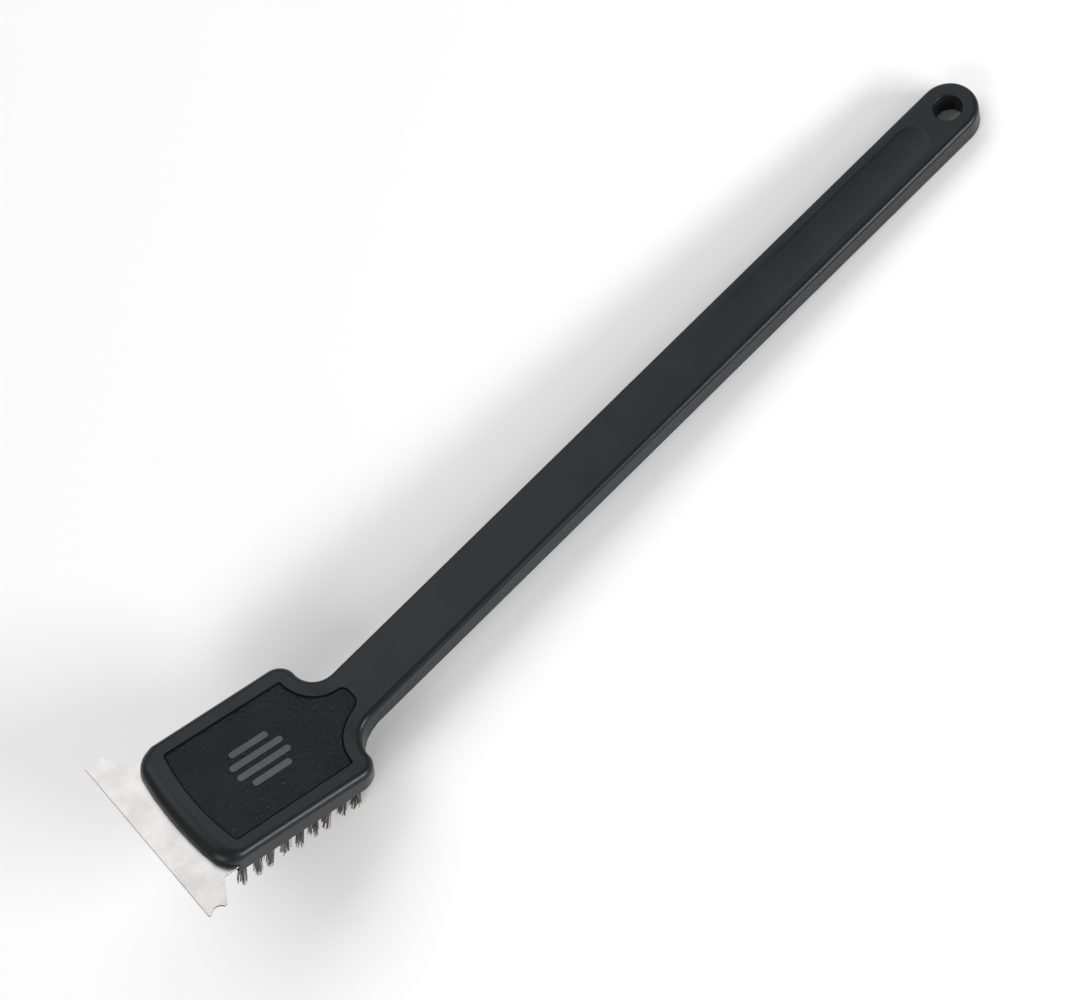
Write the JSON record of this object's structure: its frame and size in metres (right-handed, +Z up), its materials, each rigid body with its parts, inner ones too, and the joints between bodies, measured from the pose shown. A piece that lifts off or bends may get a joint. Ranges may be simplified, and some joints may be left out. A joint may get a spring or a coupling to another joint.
{
  "type": "grill cleaning brush",
  "caption": "Long-handled grill brush: cranked one-piece plastic handle and head, steel wire tufts in a screwed-on block, and a T-shaped steel scraper blade in front.",
  "frame": {"origin": "middle of the underside of the brush's bounding box, on the surface that it lies on", "axes": "+X along the brush from the scraper to the handle's end, +Y to the left seen from above with the scraper pointing away, +Z up; the brush lies on its rear tufts and the end of its handle"},
  "size_m": [0.4544, 0.0832, 0.0688],
  "materials": {
    "black_plastic": "semi-matt moulded, finely grained, with a grained sunken panel",
    "block_plastic": "matt moulded",
    "stainless_sheet": "brushed across, sheared edges",
    "wire": "drawn wire, dull",
    "screw_steel": "zinc plated",
    "grey_print": "raised matt grey marking"
  },
  "bodies": {
    "root": {"bristle_block": "block_plastic", "handle_and_head": "black_plastic", "scraper_blade": "stainless_sheet", "screw_front_left": "screw_steel", "screw_front_right": "screw_steel", "screw_rear_left": "screw_steel", "screw_rear_right": "screw_steel", "tuft_1_1": "wire", "tuft_1_2": "wire", "tuft_1_3": "wire", "tuft_1_4": "wire", "tuft_1_5": "wire", "tuft_1_6": "wire", "tuft_1_7": "wire", "tuft_1_8": "wire", "tuft_1_9": "wire", "tuft_2_1": "wire", "tuft_2_2": "wire", "tuft_2_3": "wire", "tuft_2_4": "wire", "tuft_2_5": "wire", "tuft_2_6": "wire", "tuft_2_7": "wire", "tuft_3_1": "wire", "tuft_3_2": "wire", "tuft_3_3": "wire", "tuft_3_4": "wire", "tuft_3_5": "wire", "tuft_3_6": "wire", "tuft_3_7": "wire", "tuft_3_8": "wire", "tuft_3_9": "wire", "tuft_4_1": "wire", "tuft_4_2": "wire", "tuft_4_3": "wire", "tuft_4_4": "wire", "tuft_4_5": "wire", "tuft_4_6": "wire", "tuft_4_7": "wire", "tuft_4_8": "wire", "tuft_4_9": "wire", "tuft_5_1": "wire", "tuft_5_2": "wire", "tuft_5_3": "wire", "tuft_5_4": "wire", "tuft_5_5": "wire", "tuft_5_6": "wire", "tuft_5_7": "wire", "tuft_6_1": "wire", "tuft_6_2": "wire", "tuft_6_3": "wire", "tuft_6_4": "wire", "tuft_6_5": "wire", "tuft_6_6": "wire", "tuft_6_7": "wire", "tuft_6_8": "wire", "tuft_6_9": "wire"}
  },
  "joints": []
}
